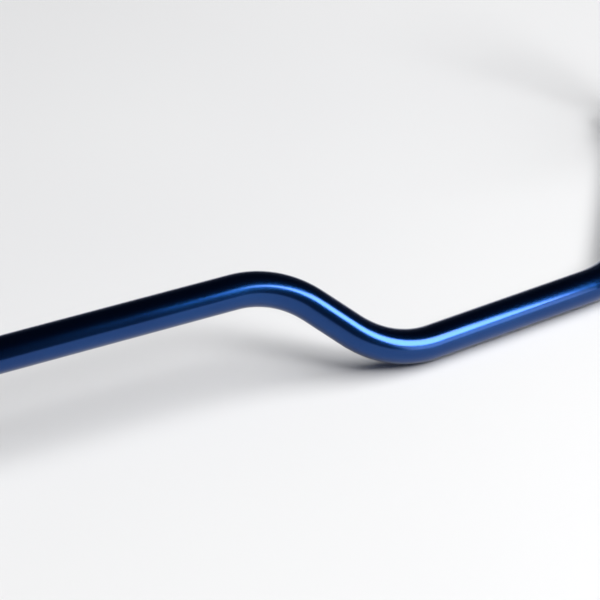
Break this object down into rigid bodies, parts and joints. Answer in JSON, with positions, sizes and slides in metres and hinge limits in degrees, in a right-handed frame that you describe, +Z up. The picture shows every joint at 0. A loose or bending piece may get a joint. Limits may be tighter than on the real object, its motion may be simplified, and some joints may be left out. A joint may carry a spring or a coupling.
{
  "type": "sway bar",
  "caption": "Hollow sway bar with kicked ends, splayed arms with adjustment holes, greased saddle mounts and rod-end links.",
  "frame": {"origin": "on the floor under the middle of the whole part, as it lies on a table", "axes": "+X along the bar to the right-hand arm, +Y back along the arms, +Z up from the table"},
  "size_m": [1.326, 0.2176, 0.1485],
  "materials": {
    "blue_coat": "translucent metallic blue over bright steel, satin gloss",
    "weld_coat": "the same blue over a rippled weld bead",
    "black_alloy": "black anodised",
    "black_screw": "black oxide",
    "polyurethane": "moulded, matte",
    "zinc_plate": "bright zinc over pressed steel",
    "nipple_plate": "yellow zinc",
    "ball_chrome": "ground and hard chromed",
    "race_bronze": "machined bronze",
    "rod_end_steel": "zinc plated forging",
    "spacer_steel": "turned",
    "fastener_zinc": "bright zinc",
    "sleeve_alloy": "turned, clear anodised"
  },
  "bodies": {
    "bar": {"bar_tube": "blue_coat", "blade_right": "blue_coat", "weld_right": "weld_coat", "collar_front_right": "black_alloy", "collar_rear_right": "black_alloy", "collar_screws_right": "black_screw", "lower_spacers_right": "spacer_steel", "lower_washers_right": "fastener_zinc", "lower_bolt_right": "fastener_zinc", "lower_nut_right": "fastener_zinc", "blade_left": "blue_coat", "weld_left": "weld_coat", "collar_front_left": "black_alloy", "collar_rear_left": "black_alloy", "collar_screws_left": "black_screw", "lower_spacers_left": "spacer_steel", "lower_washers_left": "fastener_zinc", "lower_bolt_left": "fastener_zinc", "lower_nut_left": "fastener_zinc"},
    "mount_right": {"bushing_right": "polyurethane", "bracket_right": "zinc_plate", "nipple_right": "nipple_plate"},
    "lower_pivot_right": {"lower_ball_right": "ball_chrome"},
    "link_right": {"lower_race_right": "race_bronze", "lower_rod_end_right": "rod_end_steel", "sleeve_right": "sleeve_alloy", "jam_nuts_right": "fastener_zinc", "upper_race_right": "race_bronze", "upper_rod_end_right": "rod_end_steel"},
    "upper_pivot_right": {"upper_ball_right": "ball_chrome"},
    "pin_right": {"upper_spacers_right": "spacer_steel", "upper_washers_right": "fastener_zinc", "upper_bolt_right": "fastener_zinc", "upper_nut_right": "fastener_zinc"},
    "mount_left": {"bushing_left": "polyurethane", "bracket_left": "zinc_plate", "nipple_left": "nipple_plate"},
    "lower_pivot_left": {"lower_ball_left": "ball_chrome"},
    "link_left": {"lower_race_left": "race_bronze", "lower_rod_end_left": "rod_end_steel", "sleeve_left": "sleeve_alloy", "jam_nuts_left": "fastener_zinc", "upper_race_left": "race_bronze", "upper_rod_end_left": "rod_end_steel"},
    "upper_pivot_left": {"upper_ball_left": "ball_chrome"},
    "pin_left": {"upper_spacers_left": "spacer_steel", "upper_washers_left": "fastener_zinc", "upper_bolt_left": "fastener_zinc", "upper_nut_left": "fastener_zinc"}
  },
  "joints": [
    {"name": "mount_turn_right", "type": "hinge", "parent": "bar", "child": "mount_right", "pos_m": [0.08, -0.05852, 0.0561], "axis": [1, 0, 0], "continuous": true},
    {"name": "link_swing_right", "type": "hinge", "parent": "bar", "child": "lower_pivot_right", "pos_m": [0.64108, 0.06897, 0.0146], "axis": [0.7986, -0.6018, 0], "range_deg": [-40, 40]},
    {"name": "link_tilt_right", "type": "hinge", "parent": "lower_pivot_right", "child": "link_right", "pos_m": [0.64108, 0.06897, 0.0146], "axis": [0.6018, 0.7986, 0], "range_deg": [-12, 12]},
    {"name": "pin_tilt_right", "type": "hinge", "parent": "link_right", "child": "upper_pivot_right", "pos_m": [0.64108, 0.06897, 0.1346], "axis": [0.6018, 0.7986, 0], "range_deg": [-12, 12]},
    {"name": "pin_spin_right", "type": "hinge", "parent": "upper_pivot_right", "child": "pin_right", "pos_m": [0.64108, 0.06897, 0.1346], "axis": [0.7986, -0.6018, 0], "continuous": true},
    {"name": "mount_turn_left", "type": "hinge", "parent": "bar", "child": "mount_left", "pos_m": [-0.08, -0.05852, 0.0561], "axis": [1, 0, 0], "continuous": true},
    {"name": "link_swing_left", "type": "hinge", "parent": "bar", "child": "lower_pivot_left", "pos_m": [-0.64108, 0.06897, 0.0146], "axis": [-0.7986, -0.6018, 0], "range_deg": [-40, 40]},
    {"name": "link_tilt_left", "type": "hinge", "parent": "lower_pivot_left", "child": "link_left", "pos_m": [-0.64108, 0.06897, 0.0146], "axis": [-0.6018, 0.7986, 0], "range_deg": [-12, 12]},
    {"name": "pin_tilt_left", "type": "hinge", "parent": "link_left", "child": "upper_pivot_left", "pos_m": [-0.64108, 0.06897, 0.1346], "axis": [-0.6018, 0.7986, 0], "range_deg": [-12, 12]},
    {"name": "pin_spin_left", "type": "hinge", "parent": "upper_pivot_left", "child": "pin_left", "pos_m": [-0.64108, 0.06897, 0.1346], "axis": [-0.7986, -0.6018, 0], "continuous": true}
  ]
}
